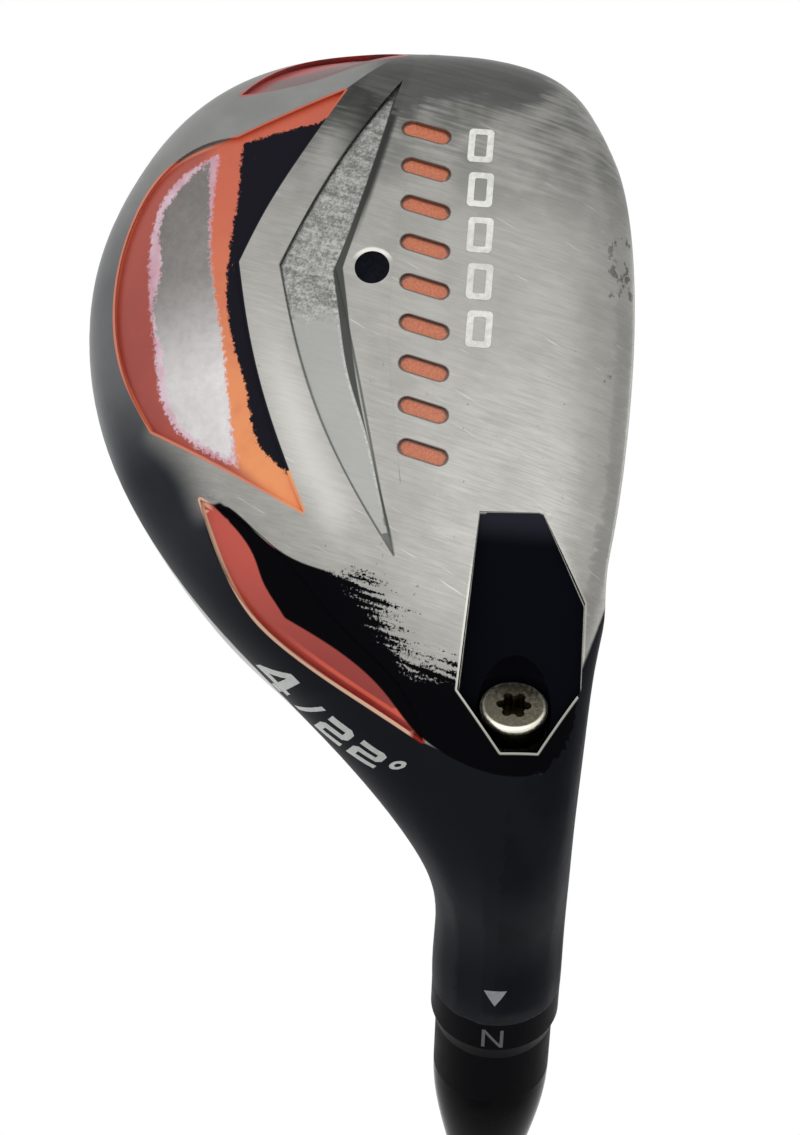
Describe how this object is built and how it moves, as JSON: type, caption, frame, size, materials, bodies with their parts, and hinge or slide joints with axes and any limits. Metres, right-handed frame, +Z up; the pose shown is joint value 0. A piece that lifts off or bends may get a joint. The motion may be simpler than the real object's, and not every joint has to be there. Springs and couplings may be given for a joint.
{
  "type": "hybrid golf club",
  "caption": "Adjustable hybrid golf club with a hollow relief-soled head, screw-held shaft sleeve, tapered shaft and rubber grip.",
  "frame": {"origin": "where the shaft axis meets the ground plane under the heel, at address", "axes": "+X along the head towards its toe, +Y towards the target, +Z up; the shaft rises towards -X at the 59.5 degree lie"},
  "size_m": [0.5991, 0.0671, 0.8766],
  "materials": {
    "stainless": "brushed cast stainless sole, satin gunmetal skirt and hosel",
    "crown_paint": "gloss dark painted crown",
    "face_steel": "milled face with score lines",
    "black_rubber": "matt",
    "tungsten": "as cast",
    "gel": "translucent hot-melt glue",
    "nylon": "moulded nylon",
    "bolt_steel": "turned steel, worn",
    "sleeve_alloy": "black anodised",
    "ring_plastic": "satin black",
    "ferrule_plastic": "gloss black",
    "carbon": "lacquered carbon fibre",
    "brass": "turned",
    "tape": "masking tape",
    "grip_rubber": "matt, moulded pattern"
  },
  "bodies": {
    "club_shaft": {"shaft": "carbon", "shaft_sleeve": "sleeve_alloy", "setting_ring": "ring_plastic", "ferrule": "ferrule_plastic", "tip_weight": "brass", "grip_tape": "tape", "grip": "grip_rubber", "grip_cap": "grip_rubber"},
    "head": {"head_body": "stainless", "crown": "crown_paint", "face_panel": "face_steel", "port_plug": "black_rubber", "sole_weight": "tungsten", "damping_gel": "gel", "bolt_retainer": "nylon", "bolt_washer": "bolt_steel"},
    "bolt": {"hosel_bolt": "bolt_steel"}
  },
  "joints": [
    {"name": "head_pull", "type": "slide", "parent": "club_shaft", "child": "head", "axis": [0.5075, 0, -0.8616], "range_m": [0, 0.042]},
    {"name": "bolt_turn", "type": "hinge", "parent": "head", "child": "bolt", "pos_m": [-0.00507, 0, 0.00862], "axis": [0.5075, 0, -0.8616], "range_deg": [0, 4320]}
  ]
}
